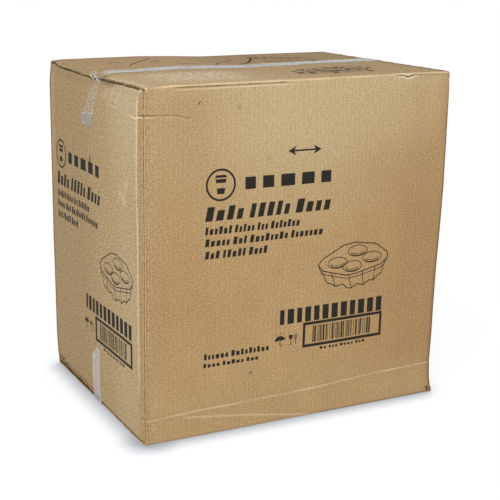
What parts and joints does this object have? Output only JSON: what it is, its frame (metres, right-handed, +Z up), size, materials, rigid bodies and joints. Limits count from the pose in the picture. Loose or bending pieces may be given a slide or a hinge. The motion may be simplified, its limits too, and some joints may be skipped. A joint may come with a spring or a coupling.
{
  "type": "shipping carton",
  "caption": "Tall corrugated cardboard shipping carton, folded from one slotted blank, packed full and sealed along its top and bottom seams with clear tape.",
  "frame": {"origin": "middle of the base, on the surface that the carton stands on", "axes": "+X to the right along the long printed panel, +Y to the back, +Z up"},
  "size_m": [0.5406, 0.408, 0.5563],
  "materials": {
    "kraft_board": "matt brown kraft liner, printed in one dark ink, with creases and scuffs",
    "clear_tape": "glossy clear parcel tape, wrinkled and milky where air is trapped under it"
  },
  "bodies": {
    "root": {"carton": "kraft_board", "top_tape": "clear_tape", "bottom_tape": "clear_tape"}
  },
  "joints": []
}
